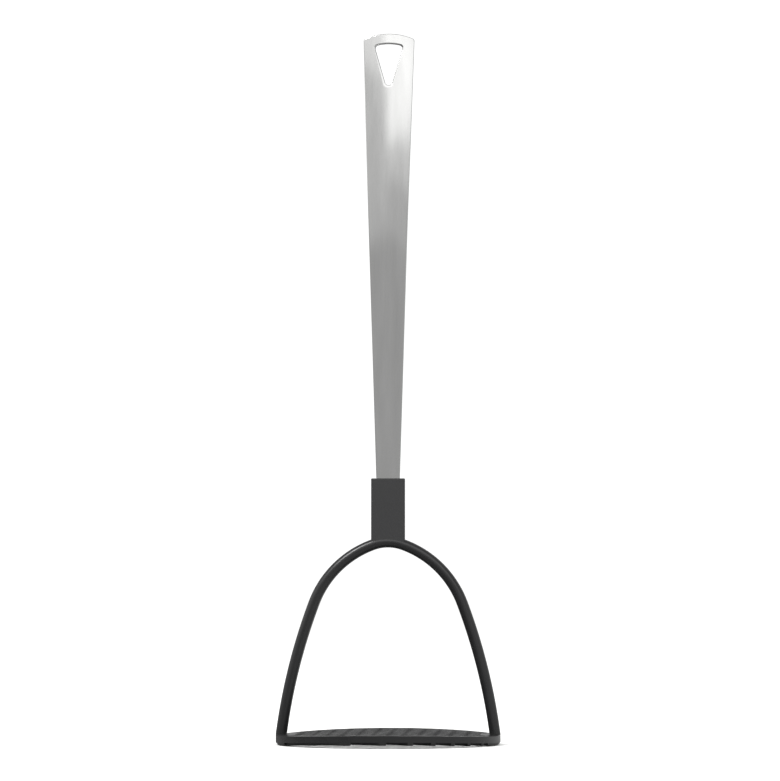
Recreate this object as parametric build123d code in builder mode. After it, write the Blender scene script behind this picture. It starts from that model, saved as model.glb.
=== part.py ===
import math
import os

from build123d import *

os.makedirs("parts", exist_ok=True)

# A potato masher that stands on its plate: X runs across the arch, Y from front to back, Z up.
# The origin is on the table, under the middle of the plate.

# Whole object
overall_height = 300.0
seat_clearance = 0.1
overrun = 3.0

# Mashing plate, arched a little so that it stands on its two ends
plate_diameter = 94.6
plate_rise = 1.4
web_thickness = 2.8
rib_depth = 1.2
rib_width = 1.9
lattice_pitch = 9.0
lattice_shift = 2.0
opening_size = 7.0
opening_corner = 0.8
rim_width = 2.6
smallest_opening_share = 0.3
foot_rounding = 1.8
end_wall_length = 4.8

# Lugs at the plate's ends, one under each leg
lug_length = 7.0
lug_width = 16.0
lug_height = 4.4
lug_rounding = 0.5
tenon_length = 2.2
tenon_width = 4.6
tenon_depth = 2.4

# Yoke: three arcs a side, one bar
crown_height = 85.2
crown_radius = 18.9
crown_angle = 20.1
shoulder_radius = 41.7
shoulder_angle = 49.3
bar_thickness = 4.6
bar_width = 7.6
bar_rounding = 2.2
spigot_length = 5.0
spigot_width = 3.0
spigot_height = 4.0

# Socket
socket_top = 112.0
socket_length = 14.1
socket_width = 7.0
socket_side_rounding = 0.9
socket_top_rounding = 0.4

# Steel handle blade
blade_thickness = 2.0
blade_foot_width = 9.9
blade_end_width = 21.3
blade_end_sagitta = 2.3
blade_corner = 1.3
blade_edge = 0.5
bow_start = 195.0
bow_radius = 620.0
crown_sagitta = 1.4
crown_full = 265.0
flattest_crown_share = 0.02
section_count = 10
tang_length = 17.0
tang_hole_radius = 2.0
tang_hole_drop = 8.0

# Hanging hole, a drop with its tip down
hole_margin = 4.2
hole_height = 17.8
hole_half_angle = 16.5
hole_tip_radius = 1.5
hole_corner = 1.5

# Worked out
plate_radius = plate_diameter / 2
plate_thickness = rib_depth + web_thickness
bend_radius = (plate_radius**2 + plate_rise**2) / (2 * plate_rise)
bend_centre = plate_rise - bend_radius
rib_count = 2 * math.floor(plate_radius / lattice_pitch)
leg_x = plate_radius - bar_thickness / 2
tang_bottom = socket_top - tang_length
tang_hole_height = socket_top - tang_hole_drop
hole_top = overall_height - hole_margin
hole_vertex = hole_top - hole_height - hole_tip_radius * (1 / math.sin(math.radians(hole_half_angle)) - 1)
hole_reach = hole_top - hole_vertex
hole_end_half = hole_reach * math.sin(math.radians(hole_half_angle))
hole_end_height = hole_vertex + hole_reach * math.cos(math.radians(hole_half_angle))


# Mashing plate
def bend_height(level, x):
    """How high a bent surface of the plate is at x, from its height at the plate's ends."""
    return bend_centre + math.sqrt((bend_radius + level) ** 2 - x**2)


def bent_layer(low, high):
    """A layer of the plate, bent to its arch, between two levels."""
    reach = plate_radius + overrun
    with BuildPart() as layer:
        with BuildSketch(Plane.XZ.offset(-reach)):
            with BuildLine():
                Line((-reach, bend_height(high, reach)), (-reach, bend_height(low, reach)))
                ThreePointArc(
                    (-reach, bend_height(low, reach)),
                    (0, bend_height(low, 0)),
                    (reach, bend_height(low, reach)),
                )
                Line((reach, bend_height(low, reach)), (reach, bend_height(high, reach)))
                ThreePointArc(
                    (reach, bend_height(high, reach)),
                    (0, bend_height(high, 0)),
                    (-reach, bend_height(high, reach)),
                )
            make_face()
        extrude(amount=2 * reach)
    return layer.part


# The ribs run under the lattice from the back left to the front right, and both stand a little off the
# plate's middle, towards the front left.
with BuildSketch() as openings:
    with Locations(Location((0, 0, 0), (0, 0, -45))):
        with Locations((0, -lattice_shift)):
            with GridLocations(lattice_pitch, lattice_pitch, rib_count, rib_count + 1):
                RectangleRounded(opening_size, opening_size, opening_corner)
    Circle(plate_radius - rim_width, mode=Mode.INTERSECT)
    with GridLocations(plate_diameter, 0, 2, 1):
        Rectangle(2 * (lug_length + rim_width / 2), lug_width + rim_width, mode=Mode.SUBTRACT)
        Rectangle(2 * (end_wall_length + rim_width / 2), plate_diameter, mode=Mode.SUBTRACT)
smallest_opening = smallest_opening_share * opening_size**2
whole_openings = [face for face in openings.sketch.faces() if face.area > smallest_opening]

with BuildPart() as envelope:
    with BuildSketch(Plane.XZ):
        with BuildLine():
            Line((0, 0), (plate_radius - foot_rounding, 0))
            RadiusArc((plate_radius - foot_rounding, 0), (plate_radius, foot_rounding), -foot_rounding)
            Polyline(
                (plate_radius, foot_rounding),
                (plate_radius, plate_thickness + plate_rise + overrun),
                (0, plate_thickness + plate_rise + overrun),
                (0, 0),
            )
        make_face()
    revolve(axis=Axis.Z)

with BuildPart() as ribs_and_lugs:
    with BuildSketch():
        with Locations(Location((0, 0, 0), (0, 0, -45))):
            with Locations((0, -lattice_shift)):
                with GridLocations(0, lattice_pitch, 1, rib_count):
                    Rectangle(plate_diameter, rib_width)
        with GridLocations(plate_diameter, 0, 2, 1):
            Rectangle(2 * end_wall_length, plate_diameter)
    extrude(amount=plate_thickness)
    add(bent_layer(0, rib_depth + web_thickness / 2), mode=Mode.INTERSECT)
    with BuildSketch():
        with GridLocations(plate_diameter, 0, 2, 1):
            RectangleRounded(2 * lug_length, lug_width, lug_length / 2)
    extrude(amount=lug_height)
    fillet(ribs_and_lugs.faces().group_by(Axis.Z)[-1].edges(), lug_rounding)
    add(envelope.part, mode=Mode.INTERSECT)

with BuildPart() as mashing_plate:
    add(bent_layer(rib_depth, plate_thickness))
    add(envelope.part, mode=Mode.INTERSECT)
    with BuildSketch():
        add(whole_openings)
    extrude(amount=plate_thickness + plate_rise + overrun, mode=Mode.SUBTRACT)
    add(ribs_and_lugs.part)
    with BuildSketch(Plane.XY.offset(lug_height)):
        with GridLocations(2 * leg_x, 0, 2, 1):
            Rectangle(tenon_length + 2 * seat_clearance, tenon_width + 2 * seat_clearance)
    extrude(amount=-(tenon_depth + seat_clearance), mode=Mode.SUBTRACT)
mashing_plate.part.label = "mashing_plate"
export_step(mashing_plate.part, "parts/mashing_plate.step")


# Yoke
def arch_bar(grow):
    """The arched bar, with its section grown all round by a clearance."""
    with BuildPart() as bar:
        with BuildLine(Plane.XZ) as path:
            crown = JernArc((0, crown_height), (1, 0), crown_radius, -crown_angle)
            shoulder = JernArc(crown @ 1, crown % 1, shoulder_radius, -shoulder_angle)
            leg = TangentArc(shoulder @ 1, Vector(leg_x, 0, lug_height), tangent=shoulder % 1)
            Line(leg @ 1, leg @ 1 + (leg % 1) * bar_thickness)
        with BuildSketch(Plane(path.line @ 0, x_dir=(0, 1, 0), z_dir=(1, 0, 0))):
            RectangleRounded(bar_width + 2 * grow, bar_thickness + 2 * grow, bar_rounding + grow)
        sweep(path=path.line)
        split(bisect_by=Plane.XY.offset(lug_height), keep=Keep.TOP)
        mirror(about=Plane.YZ)
    return bar.part


with BuildPart() as yoke:
    add(arch_bar(0))
    with Locations((0, 0, crown_height)):
        Box(
            spigot_length,
            spigot_width,
            bar_thickness / 2 + spigot_height,
            align=(Align.CENTER, Align.CENTER, Align.MIN),
        )
    with BuildSketch(Plane.XY.offset(lug_height)):
        with GridLocations(2 * leg_x, 0, 2, 1):
            Rectangle(tenon_length, tenon_width)
    extrude(amount=-tenon_depth)
yoke.part.label = "yoke"
export_step(yoke.part, "parts/yoke.step")

# Socket
with BuildPart() as socket:
    with BuildSketch(Plane.XY.offset(crown_height)):
        Rectangle(socket_length, socket_width)
    extrude(amount=socket_top - crown_height)
    fillet(socket.edges().filter_by(Axis.Z), socket_side_rounding)
    fillet(socket.faces().sort_by(Axis.Z)[-1].edges(), socket_top_rounding)
    add(arch_bar(seat_clearance), mode=Mode.SUBTRACT)
    with BuildSketch(Plane.XY.offset(crown_height)):
        Rectangle(spigot_length + 2 * seat_clearance, spigot_width + 2 * seat_clearance)
    extrude(amount=bar_thickness / 2 + spigot_height + seat_clearance, mode=Mode.SUBTRACT)
    with BuildSketch(Plane.XY.offset(socket_top)):
        Rectangle(blade_foot_width + 2 * seat_clearance, blade_thickness + 2 * seat_clearance)
    extrude(amount=-(tang_length + seat_clearance), mode=Mode.SUBTRACT)
    with BuildSketch(Plane.XZ):
        with Locations((0, tang_hole_height)):
            Circle(tang_hole_radius - seat_clearance)
    extrude(amount=socket_width / 2 - socket_side_rounding, both=True)
socket.part.label = "socket"
export_step(socket.part, "parts/socket.step")

# Steel handle blade
blade_corner_height = overall_height - blade_end_sagitta
bow_angle = math.degrees(math.asin((overall_height + overrun - bow_start) / bow_radius))
with BuildLine(Plane.YZ) as bow:
    Line((0, socket_top), (0, bow_start))
    JernArc((0, bow_start), (0, 1), bow_radius, -bow_angle)


def crown_at(height):
    """How far the crowned face stands out at its middle, at a height."""
    share = (height - bow_start) / (crown_full - bow_start)
    share = min(max(share, 0), 1)
    return crown_sagitta * max(share**2 * (3 - 2 * share), flattest_crown_share)


with BuildPart() as handle_blade:
    half_sheet = blade_end_width / 2 + overrun
    for step in range(section_count + 1):
        share = step / section_count
        middle = bow.line @ share
        sagitta = crown_at(middle.Z) * (half_sheet / (blade_end_width / 2)) ** 2
        front = -blade_thickness / 2
        with BuildSketch(Plane(middle, x_dir=(1, 0, 0), z_dir=bow.line % share)):
            with BuildLine():
                ThreePointArc((-half_sheet, front + sagitta), (0, front), (half_sheet, front + sagitta))
                Line((half_sheet, front + sagitta), (half_sheet, front + sagitta + blade_thickness))
                ThreePointArc(
                    (half_sheet, front + sagitta + blade_thickness),
                    (0, front + blade_thickness),
                    (-half_sheet, front + sagitta + blade_thickness),
                )
                Line((-half_sheet, front + sagitta + blade_thickness), (-half_sheet, front + sagitta))
            make_face()
    loft()
    with BuildSketch(Plane.XZ.offset(-plate_radius)) as outline:
        with BuildLine():
            Polyline(
                (-blade_end_width / 2, blade_corner_height),
                (-blade_foot_width / 2, socket_top),
                (blade_foot_width / 2, socket_top),
                (blade_end_width / 2, blade_corner_height),
            )
            ThreePointArc(
                (blade_end_width / 2, blade_corner_height),
                (0, overall_height),
                (-blade_end_width / 2, blade_corner_height),
            )
        make_face()
        fillet(outline.vertices().group_by(Axis.Y)[-1], blade_corner)
    extrude(amount=plate_diameter, mode=Mode.INTERSECT)
    with BuildSketch(Plane.XZ.offset(-plate_radius)) as hanging_hole:
        with BuildLine():
            Polyline(
                (-hole_end_half, hole_end_height),
                (0, hole_vertex),
                (hole_end_half, hole_end_height),
            )
            ThreePointArc(
                (hole_end_half, hole_end_height),
                (0, hole_vertex + hole_reach),
                (-hole_end_half, hole_end_height),
            )
        make_face()
        fillet(hanging_hole.vertices().group_by(Axis.Y)[-1], hole_corner)
        fillet(hanging_hole.vertices().sort_by(Axis.Y)[0], hole_tip_radius)
    extrude(amount=plate_diameter, mode=Mode.SUBTRACT)
    front_and_back = handle_blade.faces().sort_by(SortBy.AREA)[-2:]
    fillet(front_and_back.edges().filter_by(lambda edge: edge.center().Z > socket_top), blade_edge)
    with BuildSketch(Plane.XY.offset(tang_bottom)):
        Rectangle(blade_foot_width, blade_thickness)
    extrude(amount=tang_length)
    with Locations(Location((0, 0, tang_hole_height), (90, 0, 0))):
        Cylinder(tang_hole_radius, blade_thickness + 2 * overrun, mode=Mode.SUBTRACT)
handle_blade.part.label = "handle_blade"
export_step(handle_blade.part, "parts/handle_blade.step")
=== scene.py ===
import math

import bmesh
import bpy
from bpy.props import FloatProperty, FloatVectorProperty, PointerProperty
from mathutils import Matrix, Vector


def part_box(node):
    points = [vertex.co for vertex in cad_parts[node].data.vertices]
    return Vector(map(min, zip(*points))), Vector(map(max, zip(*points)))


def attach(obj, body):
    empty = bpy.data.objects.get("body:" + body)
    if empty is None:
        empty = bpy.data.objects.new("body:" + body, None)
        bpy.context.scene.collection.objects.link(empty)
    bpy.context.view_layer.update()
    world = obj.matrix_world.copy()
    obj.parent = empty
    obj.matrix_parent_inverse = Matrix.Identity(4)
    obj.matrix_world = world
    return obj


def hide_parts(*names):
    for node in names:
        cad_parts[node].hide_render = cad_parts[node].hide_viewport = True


bl_info = {
    "name": "Potato masher",
    "version": (1, 0, 0),
    "blender": (4, 5, 0),
    "location": "View3D > Sidebar > Masher",
    "description": "Dresses the packed frame of a steel and nylon potato masher",
    "category": "Add Mesh",
}

MM = 0.001
TINY = 0.01 * MM
SHARP = math.radians(60)
SMOOTH = math.radians(35)
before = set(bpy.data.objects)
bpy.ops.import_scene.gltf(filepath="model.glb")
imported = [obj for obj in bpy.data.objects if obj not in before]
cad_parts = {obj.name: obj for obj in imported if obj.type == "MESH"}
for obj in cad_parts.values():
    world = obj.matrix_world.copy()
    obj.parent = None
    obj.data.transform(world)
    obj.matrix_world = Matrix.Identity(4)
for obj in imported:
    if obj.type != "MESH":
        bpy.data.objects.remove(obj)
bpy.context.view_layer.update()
blade_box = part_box("handle_blade")
socket_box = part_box("socket")
yoke_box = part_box("yoke")
plate_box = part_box("mashing_plate")


def length(name, description, value):
    """A length property, in metres."""
    return FloatProperty(
        name=name,
        description=description,
        default=value,
        min=0,
        precision=5,
        subtype="DISTANCE",
        unit="LENGTH",
    )


def angle(name, description, degrees):
    """An angle property, given in degrees."""
    return FloatProperty(name=name, description=description, default=math.radians(degrees), subtype="ANGLE")


def linear(code):
    """A hex sRGB colour as linear light, the one place where colours are turned."""
    channels = [int(code[i : i + 2], 16) / 255 for i in (1, 3, 5)]
    return [c / 12.92 if c <= 0.04045 else ((c + 0.055) / 1.055) ** 2.4 for c in channels]


def colour(name, description, code):
    """A colour property, given as sRGB hex."""
    return FloatVectorProperty(
        name=name, description=description, default=linear(code), size=3, subtype="COLOR"
    )


class BladeSizes(bpy.types.PropertyGroup):
    """Sizes of the steel handle."""

    foot_width: length("Foot width", "Width of the strip where it leaves the socket", 9.9 * MM)
    end_width: length("End width", "Width of the strip at its upper corners", 21.3 * MM)
    end_sagitta: length("End arc", "How far the end's arc stands above its corners", 2.3 * MM)
    corner: length("Corner", "Rounding of the two upper corners", 1.3 * MM)
    thickness: length("Thickness", "Thickness of the sheet", 2.0 * MM)
    edge: length("Edge", "Rounding of the strip's long edges", 0.5 * MM)
    bow_start: length("Bow start", "Height where the strip begins to bow back", 195.0 * MM)
    bow_radius: length("Bow radius", "Radius of the bow", 620.0 * MM)
    crown: length("Crown", "How far the face stands out in the middle at the end", 1.4 * MM)
    crown_full: length("Crown height", "Height where the crown is full", 265.0 * MM)
    hole_margin: length("Hole margin", "From the hanging hole to the strip's end", 4.2 * MM)
    hole_height: length("Hole height", "Height of the hanging hole", 17.8 * MM)
    hole_angle: angle("Hole angle", "Half the angle between the hole's sides", 16.5)
    hole_rounding: length("Hole rounding", "Rounding of the hole's three corners", 1.5 * MM)


class HeadSizes(bpy.types.PropertyGroup):
    """Sizes of the nylon socket, yoke and plate."""

    crown_height: length("Crown height", "Height of the bar's centre line at the top of the arch", 85.2 * MM)
    crown_radius: length("Crown radius", "Radius of the arch's top", 18.9 * MM)
    crown_turn: angle("Crown turn", "How far the top arc turns on each side", 20.1)
    shoulder_radius: length("Shoulder radius", "Radius of the arch's shoulders", 41.7 * MM)
    shoulder_turn: angle("Shoulder turn", "How far each shoulder arc turns", 49.3)
    bar_thickness: length("Bar thickness", "Thickness of the bar in the arch's plane", 4.6 * MM)
    bar_rounding: length("Bar rounding", "Rounding of the bar's long edges", 2.2 * MM)
    side_rounding: length("Socket sides", "Rounding of the socket's upright edges", 0.9 * MM)
    top_rounding: length("Socket top", "Rounding of the socket's top edges", 0.4 * MM)
    plate_rise: length("Plate rise", "How far the plate's middle stands above its ends", 1.4 * MM)
    web: length("Web", "Thickness of the lattice", 2.8 * MM)
    rib_depth: length("Rib depth", "Depth of the ribs under the lattice", 1.2 * MM)
    rib_width: length("Rib width", "Width of each rib", 1.9 * MM)
    pitch: length("Pitch", "Spacing of the openings", 9.0 * MM)
    shift: length("Shift", "How far the lattice stands off the plate's middle, to the front left", 2.0 * MM)
    opening: length("Opening", "Size of a square opening", 7.0 * MM)
    opening_corner: length("Opening corner", "Rounding of an opening's corners", 0.8 * MM)
    rim: length("Rim", "Width of the closed rim", 2.6 * MM)
    foot_rounding: length("Foot rounding", "Rounding of the plate's lower edge", 1.8 * MM)
    end_wall: length("End wall", "How far the plate's ends are solid under the lattice", 4.8 * MM)
    lug_length: length("Lug length", "How far a lug reaches in from the rim", 7.0 * MM)
    lug_width: length("Lug width", "Width of a lug from front to back", 16.0 * MM)
    lug_height: length("Lug height", "Height of the flat top of a lug", 4.4 * MM)
    soft_edge: length("Soft edge", "Rounding of the moulded plate's edges", 0.25 * MM)


class Finishes(bpy.types.PropertyGroup):
    """Colours and roughness of the two materials, and colours of the stage."""

    steel: colour("Steel", "Colour of the satin stainless steel", "#cccccb")
    nylon: colour("Nylon", "Colour of the black moulded nylon", "#111112")
    # The matt nylon is the same nylon given a lighter colour: painted light on the socket's face, beside its
    # real matt finish.
    matt_nylon_painted_light: colour("Matt nylon", "Colour of the same nylon where its finish is matt", "#202021")
    satin: FloatProperty(name="Satin", description="Roughness of the arch and the plate", default=0.3)
    matt: FloatProperty(name="Matt", description="Roughness of the socket", default=0.55)
    floor: colour("Floor", "Colour of the pale floor", "#f4f4f3")
    # In the masher's reflections the floor is a painted dark table, with painted shade on its left and
    # painted light on its right.
    table: colour("Table", "Colour of the floor in the masher's reflections, on the left", "#505050")
    painted_lit_table: colour("Lit table", "Colour of the floor in the masher's reflections, on the right", "#b0b0b0")
    background: colour("Background", "Colour behind the masher", "#ffffff")


def deselect():
    """Leaves nothing selected, because an operator acts on all that is."""
    bpy.ops.object.select_all(action="DESELECT")


def activate(piece, *others):
    """Selects pieces, the first one active."""
    deselect()
    for each in (piece, *others):
        each.select_set(True)
    bpy.context.view_layer.objects.active = piece


def newest(name):
    """The primitive just added, under its own name and with its place in its mesh."""
    piece = bpy.context.active_object
    piece.name = piece.data.name = name
    activate(piece)
    bpy.ops.object.transform_apply(location=True, rotation=True, scale=True)
    return piece


def box_piece(name, size, middle, turn=0.0):
    """A box of a size about a middle, turned about the upright."""
    deselect()
    bpy.ops.mesh.primitive_cube_add(size=1, location=middle, rotation=(0, 0, turn), scale=size)
    return newest(name)


def round_piece(name, radius, height, middle, sides=192):
    """An upright cylinder about a middle."""
    deselect()
    bpy.ops.mesh.primitive_cylinder_add(vertices=sides, radius=radius, depth=height, location=middle)
    return newest(name)


def join(first, others):
    """Joins pieces into the first one."""
    activate(first, *others)
    bpy.ops.object.join()
    return first


def shape(piece, kind, **settings):
    """Applies a modifier to a piece."""
    activate(piece)
    modifier = piece.modifiers.new(kind.title(), kind)
    for key, value in settings.items():
        setattr(modifier, key, value)
    bpy.ops.object.modifier_apply(modifier=modifier.name)
    return piece


def carve(piece, tool, operation="DIFFERENCE"):
    """Cuts, joins or limits a piece with a tool piece, which is then gone."""
    shape(piece, "BOOLEAN", object=tool, operation=operation, solver="EXACT")
    bpy.data.objects.remove(tool)
    return piece


def copies(piece, places):
    """One piece of copies of a piece, moved to each place, in place of it."""
    made = []
    for place in places:
        activate(piece)
        bpy.ops.object.duplicate()
        copy = bpy.context.active_object
        bpy.ops.transform.translate(value=place)
        bpy.ops.object.transform_apply(location=True)
        made.append(copy)
    bpy.data.objects.remove(piece)
    return join(made[0], made[1:])


def choose_edges(piece, test):
    """Selects, in edit mode, the edges whose two ends pass a test."""
    mesh = bmesh.from_edit_mesh(piece.data)
    for edge in mesh.edges:
        edge.select_set(test(edge.verts[0].co, edge.verts[1].co))
    bmesh.update_edit_mesh(piece.data)


def round_edges(piece, test, offset, segments):
    """Rounds the edges that pass a test."""
    activate(piece)
    bpy.ops.object.mode_set(mode="EDIT")
    bpy.ops.mesh.select_mode(type="EDGE")
    bpy.ops.mesh.select_all(action="DESELECT")
    choose_edges(piece, test)
    bpy.ops.mesh.bevel(offset=offset, segments=segments, profile=0.5, affect="EDGES")
    bpy.ops.object.mode_set(mode="OBJECT")


def tidy(piece):
    """Merges doubles and turns the faces outwards."""
    activate(piece)
    bpy.ops.object.mode_set(mode="EDIT")
    bpy.ops.mesh.select_all(action="SELECT")
    bpy.ops.mesh.remove_doubles(threshold=TINY)
    bpy.ops.mesh.normals_make_consistent(inside=False)
    bpy.ops.object.mode_set(mode="OBJECT")


def finish_piece(piece, node, material):
    """Gives a piece its material and puts it in place of its node in the frame."""
    activate(piece)
    bpy.ops.object.shade_smooth_by_angle(angle=SMOOTH)
    shape(piece, "WEIGHTED_NORMAL", weight=100, keep_sharp=True)
    piece.data.materials.clear()
    piece.data.materials.append(material)
    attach(piece, "root")
    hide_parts(node)


def add_node(tree, kind, settings=None, links=None):
    """Adds a node with its settings, and links to its inputs."""
    node = tree.nodes.new(kind)
    for key, value in (settings or {}).items():
        if isinstance(key, int) or key in node.inputs:
            node.inputs[key].default_value = value
        else:
            setattr(node, key, value)
    for key, output in (links or {}).items():
        tree.links.new(output, node.inputs[key])
    return node


def new_material(name):
    """A new material with only its output node."""
    material = bpy.data.materials.new(name)
    material.use_nodes = True
    tree = material.node_tree
    tree.nodes.clear()
    return material, tree, tree.nodes.new("ShaderNodeOutputMaterial")


def satin_steel(finishes):
    """Stainless steel sheet, brushed lengthwise.

    The brushing leaves hair-thin parallel scratches, which spread a reflection sideways and keep it
    crisper along the handle. Their real spacing is about 0.05 mm, drawn here at 0.2 mm so that it shows.
    The brush's uneven pressure leaves slow drifts, some 5 mm across.
    """
    spacing, scratch_length = 0.2 * MM, 18 * MM
    drift_width, drift_length = 5 * MM, 40 * MM
    material, tree, output = new_material("Satin stainless steel, brushed lengthwise")
    place = add_node(tree, "ShaderNodeTexCoord")
    scratches = add_node(
        tree,
        "ShaderNodeMapping",
        {"Scale": (1 / spacing, 1 / spacing, 1 / scratch_length)},
        {"Vector": place.outputs["Object"]},
    )
    hairs = add_node(
        tree, "ShaderNodeTexNoise", {"Scale": 1.0, "Detail": 3.0}, {"Vector": scratches.outputs[0]}
    )
    drifts = add_node(
        tree,
        "ShaderNodeMapping",
        {"Scale": (1 / drift_width, 1 / drift_width, 1 / drift_length)},
        {"Vector": place.outputs["Object"]},
    )
    cloud = add_node(tree, "ShaderNodeTexNoise", {"Scale": 1.0, "Detail": 2.0}, {"Vector": drifts.outputs[0]})
    both = add_node(
        tree,
        "ShaderNodeMath",
        {"operation": "MULTIPLY_ADD", 1: 0.3},
        {0: hairs.outputs["Fac"], 2: cloud.outputs["Fac"]},
    )
    gloss = add_node(
        tree,
        "ShaderNodeMapRange",
        {"From Min": 0.4, "From Max": 0.9, "To Min": 0.155, "To Max": 0.185},
        {"Value": both.outputs[0]},
    )
    relief = add_node(
        tree, "ShaderNodeBump", {"Strength": 0.06, "Distance": 0.02 * MM}, {"Height": hairs.outputs["Fac"]}
    )
    # The deeper scratches shade each other, so the steel is a little darker there.
    shade = add_node(
        tree,
        "ShaderNodeMapRange",
        {"From Min": 0.4, "From Max": 0.9, "To Min": 0.86, "To Max": 1.0},
        {"Value": both.outputs[0]},
    )
    tone = add_node(
        tree, "ShaderNodeVectorMath", {"operation": "SCALE", 0: finishes.steel}, {"Scale": shade.outputs[0]}
    )
    # The tangent lies across the handle, where the scratches spread the light the most.
    across = add_node(
        tree,
        "ShaderNodeVectorTransform",
        {"convert_from": "OBJECT", "convert_to": "WORLD", "Vector": (1, 0, 0)},
    )
    shader = add_node(
        tree,
        "ShaderNodeBsdfPrincipled",
        {"Metallic": 1.0, "Anisotropic": 0.88},
        {
            "Base Color": tone.outputs[0],
            "Roughness": gloss.outputs[0],
            "Normal": relief.outputs[0],
            "Tangent": across.outputs[0],
        },
    )
    tree.links.new(shader.outputs["BSDF"], output.inputs["Surface"])
    return material


def moulded_nylon(name, colour, roughness, grain_size, grain_depth):
    """Black polyamide, injection moulded.

    The mould's spark-eroded face leaves a grain, finer and glossier on the arch and the plate and
    coarser and duller on the socket. The real grain is about half the size drawn here. The flow of the
    melt leaves slow drifts of gloss, some 9 mm across.
    """
    drift = 9 * MM
    material, tree, output = new_material(name)
    place = add_node(tree, "ShaderNodeTexCoord")
    grain = add_node(
        tree,
        "ShaderNodeTexNoise",
        {"Scale": 1 / grain_size, "Detail": 2.0},
        {"Vector": place.outputs["Object"]},
    )
    flow = add_node(
        tree, "ShaderNodeTexNoise", {"Scale": 1 / drift, "Detail": 2.0}, {"Vector": place.outputs["Object"]}
    )
    gloss = add_node(
        tree,
        "ShaderNodeMapRange",
        {"From Min": 0.3, "From Max": 0.7, "To Min": roughness - 0.04, "To Max": roughness + 0.04},
        {"Value": flow.outputs["Fac"]},
    )
    relief = add_node(
        tree, "ShaderNodeBump", {"Strength": 0.3, "Distance": grain_depth}, {"Height": grain.outputs["Fac"]}
    )
    shader = add_node(
        tree,
        "ShaderNodeBsdfPrincipled",
        {"Base Color": (*colour, 1), "IOR": 1.53},
        {"Roughness": gloss.outputs[0], "Normal": relief.outputs[0]},
    )
    tree.links.new(shader.outputs["BSDF"], output.inputs["Surface"])
    return material


def along(first, last, steps):
    """Points along a straight line, without its last one."""
    return [first.lerp(last, i / steps) for i in range(steps)]


def around(centre, radius, first, last, steps):
    """Points along an arc, between two angles from +X, without its last one."""
    angles = [first + (last - first) * i / steps for i in range(steps)]
    return [centre + radius * Vector((math.cos(a), math.sin(a))) for a in angles]


class Blade:
    """The strip's outline in its own plane, X across and Y up, worked out from its sizes."""

    def __init__(self, sizes):
        self.sizes = sizes
        self.top = blade_box[1].z
        self.foot = socket_box[1].z
        self.corner_height = self.top - sizes.end_sagitta
        half = sizes.end_width / 2
        self.end_radius = (half**2 + sizes.end_sagitta**2) / (2 * sizes.end_sagitta)
        self.slope = (half - sizes.foot_width / 2) / (self.corner_height - self.foot)

    def half_width(self, height):
        return self.sizes.foot_width / 2 + self.slope * max(height - self.foot, 0)

    def outer_loop(self, low, counts):
        """The outline above a height, from its lower left corner, anticlockwise."""
        s = self.sizes
        end_centre = Vector((0, self.top - self.end_radius))
        side_angle = math.atan(self.slope)
        # The corner's centre lies a rounding inside both the side and the end's arc, found by closing in.
        height = self.corner_height
        for _ in range(20):
            across = self.half_width(height) - s.corner / math.cos(side_angle)
            height = end_centre.y + math.sqrt((self.end_radius - s.corner) ** 2 - across**2)
        corner = Vector((across, height))
        first = -side_angle
        last = math.atan2(corner.y - end_centre.y, corner.x)
        side_top = corner + s.corner * Vector((math.cos(first), math.sin(first)))
        low_right = Vector((self.half_width(low), low))
        mirror = Vector((-1, 1))
        right = along(low_right, side_top, counts[1]) + around(corner, s.corner, first, last, counts[2])
        end = around(end_centre, self.end_radius, last, math.pi - last, counts[3])
        left = [p * mirror for p in reversed(right[1:] + end[:1])]
        return along(low_right * mirror, low_right, counts[0]) + right + end + left

    def hole_loop(self, counts):
        """The hanging hole's outline, matched point for point with the outer loop."""
        s = self.sizes
        r, a = s.hole_rounding, s.hole_angle
        top = self.top - s.hole_margin
        vertex = Vector((0, top - s.hole_height - r * (1 / math.sin(a) - 1)))
        reach = top - vertex.y
        tip = vertex + Vector((0, r / math.sin(a)))
        lean = a - math.asin(r / (reach - r))
        corner = vertex + (reach - r) * Vector((math.sin(lean), math.cos(lean)))
        mirror = Vector((-1, 1))
        tip_arc = around(tip, r, math.pi + a, 2 * math.pi - a, counts[0])
        tip_end = tip + r * Vector((math.cos(-a), math.sin(-a)))
        side_end = corner + r * Vector((math.cos(-a), math.sin(-a)))
        right = along(tip_end, side_end, counts[1]) + around(corner, r, -a, math.pi / 2 - lean, counts[2])
        end = around(vertex, reach, math.pi / 2 - lean, math.pi / 2 + lean, counts[3])
        left = [p * mirror for p in reversed(right[1:] + end[:1])]
        return tip_arc + right + end + left

    def depth(self, across, height):
        """How far back the middle of the sheet lies at a point."""
        s = self.sizes
        bowed = max(height - s.bow_start, 0)
        bow = s.bow_radius - math.sqrt(s.bow_radius**2 - bowed**2)
        share = min(max((height - s.bow_start) / (s.crown_full - s.bow_start), 0), 1)
        crown = s.crown * share**2 * (3 - 2 * share)
        return bow + crown * (across / (s.end_width / 2)) ** 2


def loop_piece(name, points):
    """A ring of edges through points, started as a circle."""
    deselect()
    bpy.ops.mesh.primitive_circle_add(vertices=len(points), radius=1)
    piece = newest(name)
    for vertex, point in zip(piece.data.vertices, points):
        vertex.co = (point.x, 0, point.y)
    return piece


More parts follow.
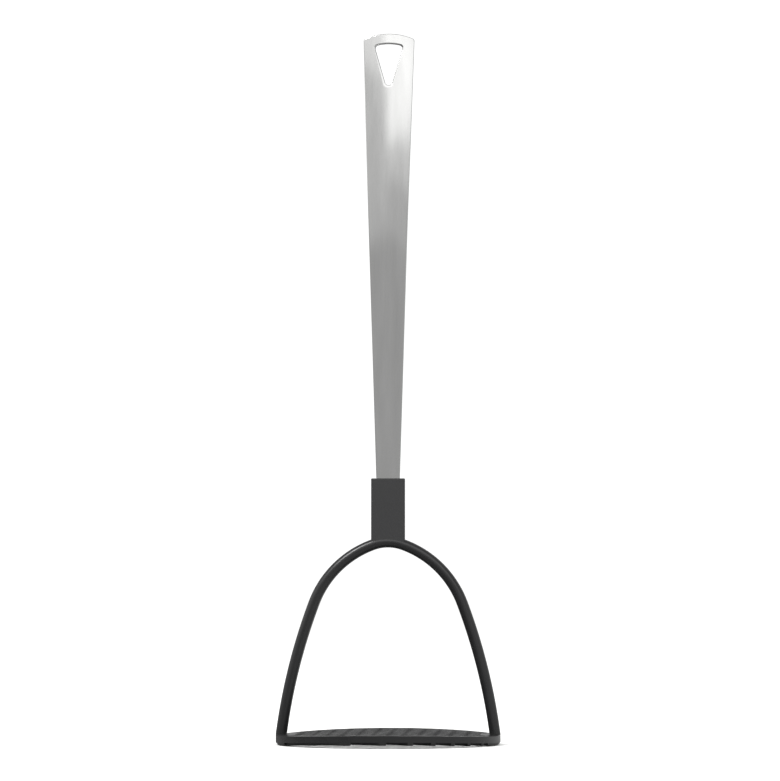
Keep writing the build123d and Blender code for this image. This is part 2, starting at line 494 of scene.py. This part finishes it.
class MASHER_OT_blade(bpy.types.Operator):
    """Makes the steel handle with its hanging hole and tang"""

    bl_idname = "masher.blade"
    bl_label = "Steel handle"

    # Faces across the strip, along it, and between the hole and the outline, and the points of both
    # loops round the hole: along the bottom, a side, a corner and the end.
    across, rows, rings = 24, 90, 9
    counts = (across, 40, 8, 32)

    def execute(self, context):
        sizes = context.scene.masher_blade
        plan = Blade(sizes)
        # The lower part is a grid, and the upper part, with the hole, is bridged between two loops.
        split = plan.top - 1.7 * sizes.hole_height - sizes.hole_margin
        outer = loop_piece("blade", plan.outer_loop(split, self.counts))
        hole = loop_piece("hole_loop", plan.hole_loop(self.counts))
        piece = join(outer, [hole])
        bpy.ops.object.mode_set(mode="EDIT")
        bpy.ops.mesh.select_all(action="SELECT")
        bpy.ops.mesh.bridge_edge_loops(number_cuts=self.rings, interpolation="LINEAR", use_merge=False)
        bpy.ops.object.mode_set(mode="OBJECT")

        deselect()
        bpy.ops.mesh.primitive_grid_add(x_subdivisions=self.across, y_subdivisions=self.rows, size=2)
        lower = newest("blade_lower")
        for vertex in lower.data.vertices:
            height = plan.foot + (vertex.co.y + 1) / 2 * (split - plan.foot)
            vertex.co = (vertex.co.x * plan.half_width(height), 0, height)
        join(piece, [lower])
        tidy(piece)
        bpy.ops.object.mode_set(mode="EDIT")
        bpy.ops.mesh.select_mode(type="EDGE")
        bpy.ops.mesh.select_all(action="DESELECT")
        choose_edges(piece, lambda a, b: max(a.z, b.z) < plan.foot + TINY)
        bpy.ops.mesh.extrude_region_move(TRANSFORM_OT_translate={"value": (0, 0, blade_box[0].z - plan.foot)})
        bpy.ops.object.mode_set(mode="OBJECT")
        for vertex in piece.data.vertices:
            vertex.co.y = plan.depth(vertex.co.x, vertex.co.z)
        shape(piece, "SOLIDIFY", thickness=sizes.thickness, offset=0, use_even_offset=True)
        shape(piece, "BEVEL", width=sizes.edge, segments=4, limit_method="ANGLE", angle_limit=SHARP)
        tidy(piece)
        finish_piece(piece, "handle_blade", satin_steel(context.scene.masher_finishes))
        return {"FINISHED"}


class MASHER_OT_yoke(bpy.types.Operator):
    """Makes the arched bar, spun along its three arcs and mirrored"""

    bl_idname = "masher.yoke"
    bl_label = "Yoke"

    crown_steps, shoulder_steps, leg_steps = 16, 36, 24

    def execute(self, context):
        sizes = context.scene.masher_head
        width = yoke_box[1].y - yoke_box[0].y
        deselect()
        top = (0, 0, sizes.crown_height)
        bpy.ops.mesh.primitive_plane_add(size=1, location=top, rotation=(0, math.pi / 2, 0))
        piece = bpy.context.active_object
        piece.scale = (sizes.bar_thickness, width, 1)
        piece = newest("yoke_bar")
        bpy.ops.object.mode_set(mode="EDIT")
        bpy.ops.mesh.select_mode(type="VERT")
        bpy.ops.mesh.select_all(action="SELECT")
        bpy.ops.mesh.bevel(offset=sizes.bar_rounding, segments=10, affect="VERTICES")
        bpy.ops.mesh.select_all(action="SELECT")
        bpy.ops.mesh.delete(type="ONLY_FACE")
        bpy.ops.mesh.select_all(action="SELECT")
        turn = 0.0
        centre = Vector((0, 0, sizes.crown_height - sizes.crown_radius))
        radius = sizes.crown_radius
        leg_x = plate_box[1].x - sizes.bar_thickness / 2
        foot = Vector((leg_x, 0, sizes.lug_height))
        for arc_radius, arc_turn, steps in (
            (sizes.crown_radius, sizes.crown_turn, self.crown_steps),
            (sizes.shoulder_radius, sizes.shoulder_turn, self.shoulder_steps),
        ):
            inwards = Vector((-math.sin(turn), 0, -math.cos(turn)))
            point = centre - radius * inwards
            centre, radius = point + arc_radius * inwards, arc_radius
            bpy.ops.mesh.spin(steps=steps, angle=arc_turn, center=centre, axis=(0, -1, 0))
            turn += arc_turn
        # The leg's arc leaves the shoulder smoothly and ends at the lug.
        inwards = Vector((-math.sin(turn), 0, -math.cos(turn)))
        point = centre - radius * inwards
        span = foot - point
        radius = span.dot(span) / (2 * span.dot(inwards))
        centre = point + radius * inwards
        arc_turn = 2 * math.asin(span.length / 2 / radius)
        bpy.ops.mesh.spin(steps=self.leg_steps, angle=arc_turn, center=centre, axis=(0, -1, 0))
        turn += arc_turn
        tail = sizes.bar_thickness * Vector((math.cos(turn), 0, -math.sin(turn)))
        bpy.ops.mesh.extrude_region_move(TRANSFORM_OT_translate={"value": tail})
        bpy.ops.mesh.select_all(action="SELECT")
        bpy.ops.mesh.bisect(plane_co=foot, plane_no=(0, 0, -1), clear_outer=True, use_fill=True)
        bpy.ops.object.mode_set(mode="OBJECT")
        shape(piece, "MIRROR", use_axis=(True, False, False), merge_threshold=0.05 * MM)
        tidy(piece)
        finishes = context.scene.masher_finishes
        grain_size, grain_depth = 0.3 * MM, 0.004 * MM
        nylon = moulded_nylon(
            "Black nylon, satin moulded", finishes.nylon, finishes.satin, grain_size, grain_depth
        )
        finish_piece(piece, "yoke", nylon)
        return {"FINISHED"}


class MASHER_OT_socket(bpy.types.Operator):
    """Makes the block that holds the steel tang, saddled over the yoke"""

    bl_idname = "masher.socket"
    bl_label = "Socket"

    gap = 0.2 * MM

    def execute(self, context):
        sizes = context.scene.masher_head
        low, high = socket_box
        low = Vector((low.x, low.y, sizes.crown_height))
        piece = box_piece("socket_block", high - low, (low + high) / 2)
        round_edges(piece, lambda a, b: abs(a.z - b.z) > TINY, sizes.side_rounding, 6)
        round_edges(piece, lambda a, b: min(a.z, b.z) > high.z - TINY, sizes.top_rounding, 4)
        blade = context.scene.masher_blade
        deep = 2 * (high.z - blade_box[0].z)
        slot_size = Vector((blade.foot_width + self.gap, blade.thickness + self.gap, deep))
        carve(piece, box_piece("slot", slot_size, (0, 0, high.z)))
        activate(bpy.data.objects["yoke_bar"])
        bpy.ops.object.duplicate()
        carve(piece, bpy.context.active_object)
        # The socket's lighter colour is painted light on its face; its coarser, duller grain is the real matt
        # finish.
        finishes = context.scene.masher_finishes
        grain_size, grain_depth = 0.5 * MM, 0.01 * MM
        nylon = moulded_nylon(
            "Black nylon, matt moulded, painted lighter", finishes.matt_nylon_painted_light, finishes.matt, grain_size, grain_depth
        )
        finish_piece(piece, "socket", nylon)
        return {"FINISHED"}


class MASHER_OT_plate(bpy.types.Operator):
    """Makes the round plate with its lattice of openings, ribs, end walls and lugs"""

    bl_idname = "masher.plate"
    bl_label = "Mashing plate"

    smallest_share = 0.3
    marks = 12

    def open_share(self, x, y, sizes, radius):
        """How much of a cell at a place lies inside the rim and clear of the lugs and end walls."""
        half = sizes.opening / 2
        lug_x = radius - sizes.lug_length - sizes.rim / 2
        lug_y = (sizes.lug_width + sizes.rim) / 2
        wall_x = radius - sizes.end_wall - sizes.rim / 2
        marks = [(i + 0.5) / self.marks - 0.5 for i in range(self.marks)]
        inside = 0
        for u in marks:
            for v in marks:
                across = abs(x + (u - v) * half * math.sqrt(2))
                back = abs(y + (u + v) * half * math.sqrt(2))
                clear = across < wall_x and (across < lug_x or back > lug_y)
                inside += clear and math.hypot(across, back) < radius - sizes.rim
        return inside / len(marks) ** 2

    def openings(self, sizes, radius):
        """The cutters for all the openings, in one piece."""
        count = math.floor(radius / sizes.pitch)
        height = 4 * sizes.lug_height
        cutter = box_piece("openings", (sizes.opening, sizes.opening, height), (0, 0, 0), math.radians(45))
        round_edges(cutter, lambda a, b: abs(a.z - b.z) > MM, sizes.opening_corner, 4)
        places = []
        for i in range(-count, count + 1):
            for j in range(-count, count):
                across, beside = i * sizes.pitch - sizes.shift, (j + 0.5) * sizes.pitch
                x, y = (across + beside) / math.sqrt(2), (across - beside) / math.sqrt(2)
                if self.open_share(x, y, sizes, radius) > self.smallest_share:
                    places.append((x, y, 0))
        cutter = copies(cutter, places)
        carve(cutter, round_piece("inside_rim", radius - sizes.rim, 2 * height, (0, 0, 0)), "INTERSECT")
        solid_ends = ((sizes.lug_length, sizes.lug_width + sizes.rim), (sizes.end_wall, 2 * radius))
        for side in (-1, 1):
            for reach, wide in solid_ends:
                size = (2 * reach + sizes.rim, wide, 2 * height)
                carve(cutter, box_piece("keep_solid", size, (side * radius, 0, 0)))
        return cutter

    def underside(self, sizes, radius):
        """The ribs under the lattice and the walls under its ends, in one piece."""
        depth = sizes.rib_depth + sizes.web / 2
        rib = box_piece("ribs", (2 * radius, sizes.rib_width, depth), (0, 0, depth / 2))
        round_edges(rib, lambda a, b: max(a.z, b.z) < depth / 2 and abs(a.y - b.y) < MM, sizes.soft_edge, 2)
        activate(rib)
        bpy.ops.object.mode_set(mode="EDIT")
        bpy.ops.mesh.select_all(action="DESELECT")
        choose_edges(rib, lambda a, b: abs(a.x - b.x) > radius)
        bpy.ops.mesh.subdivide(number_cuts=31)
        bpy.ops.mesh.select_all(action="SELECT")
        bpy.ops.transform.rotate(value=math.radians(45), orient_axis="Z", center_override=(0, 0, 0))
        bpy.ops.object.mode_set(mode="OBJECT")
        count = math.floor(radius / sizes.pitch)
        steps = [((i + 0.5) * sizes.pitch - sizes.shift) / math.sqrt(2) for i in range(-count, count)]
        piece = copies(rib, [(step, step, 0) for step in steps])
        for side in (-1, 1):
            size = (2 * sizes.end_wall, 2 * radius, depth)
            carve(piece, box_piece("end_wall", size, (side * radius, 0, depth / 2)), "UNION")
        return piece

    def bend(self, sizes, piece, radius):
        """Arches a piece along X, its faces cut into triangles that stay flat."""
        shape(piece, "TRIANGULATE")
        for vertex in piece.data.vertices:
            vertex.co.z += sizes.plate_rise * (1 - (vertex.co.x / radius) ** 2)

    def execute(self, context):
        sizes = context.scene.masher_head
        radius = (plate_box[1].x - plate_box[0].x) / 2
        piece = round_piece("lattice_plate", radius, sizes.web, (0, 0, sizes.rib_depth + sizes.web / 2))
        carve(piece, self.openings(sizes, radius))
        edge = sizes.soft_edge
        shape(piece, "BEVEL", width=edge, segments=2, limit_method="ANGLE", angle_limit=SHARP)
        self.bend(sizes, piece, radius)
        below = self.underside(sizes, radius)
        self.bend(sizes, below, radius)
        for side in (-1, 1):
            size = (2 * sizes.lug_length, sizes.lug_width, sizes.lug_height)
            lug = box_piece("lug", size, (side * radius, 0, sizes.lug_height / 2))
            round_edges(lug, lambda a, b: abs(a.z - b.z) > MM, sizes.lug_length / 2, 12)
            round_edges(lug, lambda a, b: min(a.z, b.z) > sizes.lug_height - edge, 2 * edge, 3)
            carve(below, lug, "UNION")
        height = 4 * sizes.lug_height
        envelope = round_piece("envelope", radius - TINY, height, (0, 0, height / 2))
        round_edges(envelope, lambda a, b: max(a.z, b.z) < edge, sizes.foot_rounding, 8)
        carve(below, envelope, "INTERSECT")
        carve(piece, below, "UNION")
        tidy(piece)
        finish_piece(piece, "mashing_plate", bpy.data.objects["yoke_bar"].active_material)
        return {"FINISHED"}


class MASHER_OT_stage(bpy.types.Operator):
    """Makes the pale floor, the soft studio lights, the room and the camera"""

    bl_idname = "masher.stage"
    bl_label = "Stage"

    # The camera stands a little to the masher's right, low down and far away.
    bearing = math.radians(2.5)
    distance, aside = 2.5, 0.8 * MM
    camera_height, aim_height = 98.9 * MM, 149 * MM
    lens = 273.7

    floor_radius = 4.0
    white_brightness, room_brightness = 1.1, 0.53

    # Each softbox: name, brightness, its bearings to the left and right of the camera and its lower and
    # upper heights, in degrees, seen from a point on the handle.
    lamp_distance, lamp_aim = 2.4, 0.2
    softboxes = (
        ("key", 1.15, (-5.7, 45, 16.5, 52)),
        ("key edge", 0.35, (-5.7, 45, 12.8, 16.5)),
        ("left", 0.22, (-50, 0, 7, 22)),
        ("upper left", 0.78, (-42, -5.7, 22, 52)),
        ("strip", 32.0, (-54, -42, 36, 54)),
        ("left side", 0.7, (-115, -55, 8, 35)),
        ("right", 0.25, (32, 120, 0, 20)),
    )

    def softbox(self, scene, name, brightness, span):
        """A rectangular light that faces the masher and fills a span of bearings and heights."""
        left, right, low, high = (math.radians(a) for a in span)
        across, up = (left + right) / 2, (low + high) / 2
        tall = 2 * self.lamp_distance * math.tan((high - low) / 2)
        reach = self.lamp_distance * math.cos(up) + tall / 2 * math.sin(up)
        wide = 2 * reach * math.tan((right - left) / 2)
        lamp = bpy.data.lights.new(name, "AREA")
        lamp.shape = "RECTANGLE"
        lamp.size, lamp.size_y = wide, tall
        lamp.energy = brightness * math.pi * wide * tall
        seat = bpy.data.objects.new(name, lamp)
        seat.visible_camera = False
        scene.collection.objects.link(seat)
        across += self.bearing
        away = Vector((math.sin(across) * math.cos(up), -math.cos(across) * math.cos(up), math.sin(up)))
        seat.location = Vector((0, 0, self.lamp_aim)) + self.lamp_distance * away
        seat.rotation_euler = away.to_track_quat("Z", "Y").to_euler()

    def room(self, finishes):
        """White behind the masher and over the floor, and a dim room in the masher's reflections."""
        world = bpy.data.worlds.new("Plain room")
        world.use_nodes = True
        tree = world.node_tree
        tree.nodes.clear()
        light_path = add_node(tree, "ShaderNodeLightPath")
        backgrounds = [
            add_node(tree, "ShaderNodeBackground", {"Color": (*finishes.background, 1), "Strength": strength})
            for strength in (self.white_brightness, self.room_brightness)
        ]
        mix = add_node(
            tree,
            "ShaderNodeMixShader",
            links={
                "Fac": light_path.outputs["Is Glossy Ray"],
                1: backgrounds[0].outputs[0],
                2: backgrounds[1].outputs[0],
            },
        )
        add_node(tree, "ShaderNodeOutputWorld", links={"Surface": mix.outputs[0]})
        return world

    def paper(self, finishes):
        """Matt white paper, which only scatters light.

        In the photograph, the masher's own reflections show a dark table, lit from the right, in place of
        the white that the masher is cut out on, so the paper has the table's colours there.
        """
        half_blend = 0.1
        material, tree, output = new_material("Matt white paper")
        light_path = add_node(tree, "ShaderNodeLightPath")
        pale = add_node(tree, "ShaderNodeBsdfDiffuse", {"Color": (*finishes.floor, 1)})
        place = add_node(tree, "ShaderNodeTexCoord")
        split = add_node(tree, "ShaderNodeSeparateXYZ", links={"Vector": place.outputs["Object"]})
        # Painted light on the reflected table's right and painted shade on its left, blended across the
        # middle.
        lit = add_node(
            tree,
            "ShaderNodeMapRange",
            {"From Min": -half_blend, "From Max": half_blend},
            {"Value": split.outputs["X"]},
        )
        shade = add_node(
            tree,
            "ShaderNodeMixRGB",
            {"Color1": (*finishes.table, 1), "Color2": (*finishes.painted_lit_table, 1)},
            {"Fac": lit.outputs[0]},
        )
        dark = add_node(tree, "ShaderNodeBsdfDiffuse", links={"Color": shade.outputs[0]})
        mix = add_node(
            tree,
            "ShaderNodeMixShader",
            links={"Fac": light_path.outputs["Is Glossy Ray"], 1: pale.outputs[0], 2: dark.outputs[0]},
        )
        tree.links.new(mix.outputs[0], output.inputs["Surface"])
        return material

    def execute(self, context):
        scene = context.scene
        finishes = scene.masher_finishes
        deselect()
        bpy.ops.mesh.primitive_circle_add(vertices=96, radius=self.floor_radius, fill_type="NGON")
        floor = newest("floor")
        floor.data.materials.append(self.paper(finishes))
        scene.world = self.room(finishes)
        scene.view_settings.view_transform = "Standard"
        for box in self.softboxes:
            self.softbox(scene, *box)

        camera = bpy.data.cameras.new("camera")
        camera.sensor_width = 36.0
        camera.lens = self.lens
        seat = bpy.data.objects.new("camera", camera)
        scene.collection.objects.link(seat)
        away = Vector((math.sin(self.bearing), -math.cos(self.bearing), 0))
        beside = self.aside * Vector((math.cos(self.bearing), math.sin(self.bearing), 0))
        seat.location = self.distance * away + beside + Vector((0, 0, self.camera_height))
        target = beside + Vector((0, 0, self.aim_height))
        seat.rotation_euler = (target - seat.location).to_track_quat("-Z", "Y").to_euler()
        scene.camera = seat
        return {"FINISHED"}


class MASHER_PT_panel(bpy.types.Panel):
    """Lists the masher's pieces and their sizes"""

    bl_label = "Potato masher"
    bl_idname = "MASHER_PT_panel"
    bl_space_type = "VIEW_3D"
    bl_region_type = "UI"
    bl_category = "Masher"

    def draw(self, context):
        layout = self.layout
        for operator in OPERATORS:
            layout.operator(operator.bl_idname)
        for group in (context.scene.masher_blade, context.scene.masher_head, context.scene.masher_finishes):
            box = layout.box()
            for name in group.__annotations__:
                box.prop(group, name)


GROUPS = {"masher_blade": BladeSizes, "masher_head": HeadSizes, "masher_finishes": Finishes}
OPERATORS = (MASHER_OT_blade, MASHER_OT_yoke, MASHER_OT_socket, MASHER_OT_plate, MASHER_OT_stage)


def register():
    """Registers the classes and hangs the property groups on the scene."""
    for each in (*GROUPS.values(), *OPERATORS, MASHER_PT_panel):
        bpy.utils.register_class(each)
    for name, group in GROUPS.items():
        setattr(bpy.types.Scene, name, PointerProperty(type=group))


def unregister():
    """Takes the groups and classes away again."""
    for name in GROUPS:
        delattr(bpy.types.Scene, name)
    for each in reversed((*GROUPS.values(), *OPERATORS, MASHER_PT_panel)):
        bpy.utils.unregister_class(each)


def main():
    """Makes the whole masher."""
    register()
    bpy.ops.masher.blade()
    bpy.ops.masher.yoke()
    bpy.ops.masher.socket()
    bpy.ops.masher.plate()
    bpy.ops.masher.stage()


if __name__ == "__main__":
    main()
